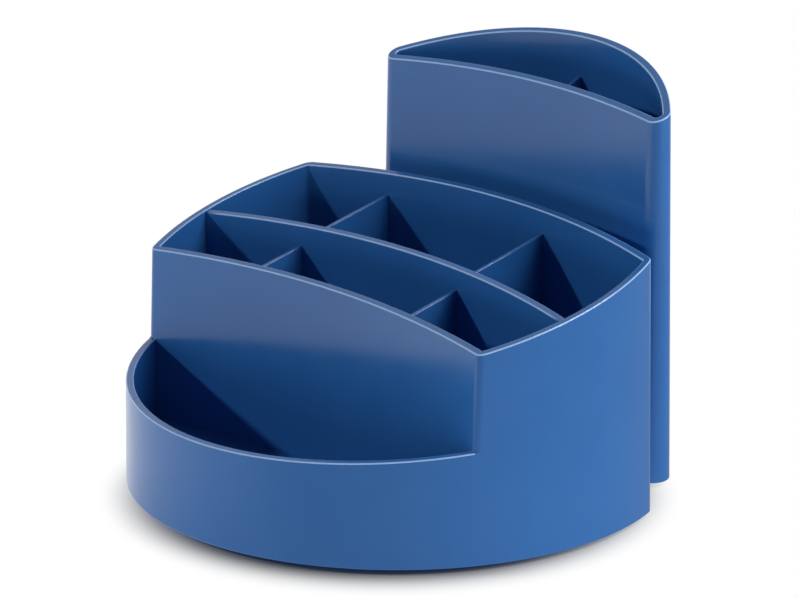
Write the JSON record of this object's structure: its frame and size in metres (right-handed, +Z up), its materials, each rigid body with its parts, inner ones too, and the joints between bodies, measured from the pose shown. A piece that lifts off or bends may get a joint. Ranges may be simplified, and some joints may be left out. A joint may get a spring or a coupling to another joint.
{
  "type": "rotating desk organizer",
  "caption": "Round tiered desk organizer with a low front tray, a divided block and a tall rear holder, turning on a hidden ball-bearing base.",
  "frame": {"origin": "on the desk, on the turning axis, at the middle of the round base", "axes": "+Z up along the turning axis; -Y towards the low front tray, +Y towards the tall rear holder; +X to the right"},
  "size_m": [0.14, 0.14, 0.1066],
  "materials": {
    "shell": "satin moulded blue",
    "plate": "fine-grained dark grey",
    "foot": "matt black",
    "race": "pressed steel",
    "ball": "polished",
    "cage": "natural nylon",
    "steel": "turned and plated",
    "bush": "off-white acetal",
    "screw": "zinc plated"
  },
  "bodies": {
    "base": {"base_plate": "plate", "foot_pads": "foot", "lower_race": "race", "pivot_pin": "steel", "pivot_washer": "steel", "pivot_clip": "steel"},
    "organizer": {"front_body": "shell", "row_wall": "shell", "front_left_divider": "shell", "front_right_divider": "shell", "rear_left_divider": "shell", "rear_right_divider": "shell", "rear_tower": "shell", "tower_divider": "shell", "turntable_plate": "plate", "upper_race": "race", "pivot_bush": "bush", "front_body_screws": "screw", "tower_screws": "screw"},
    "cage": {"ball_cage": "cage", "bearing_balls": "ball"}
  },
  "joints": [
    {"name": "organizer_spin", "type": "hinge", "parent": "base", "child": "organizer", "pos_m": [0, 0, 0.0037], "axis": [0, 0, 1], "continuous": true},
    {"name": "cage_spin", "type": "hinge", "parent": "base", "child": "cage", "pos_m": [0, 0, 0.0037], "axis": [0, 0, 1], "continuous": true}
  ],
  "couplings": [
    {"joint": "cage_spin", "follows": "organizer_spin", "ratio": 0.5}
  ]
}
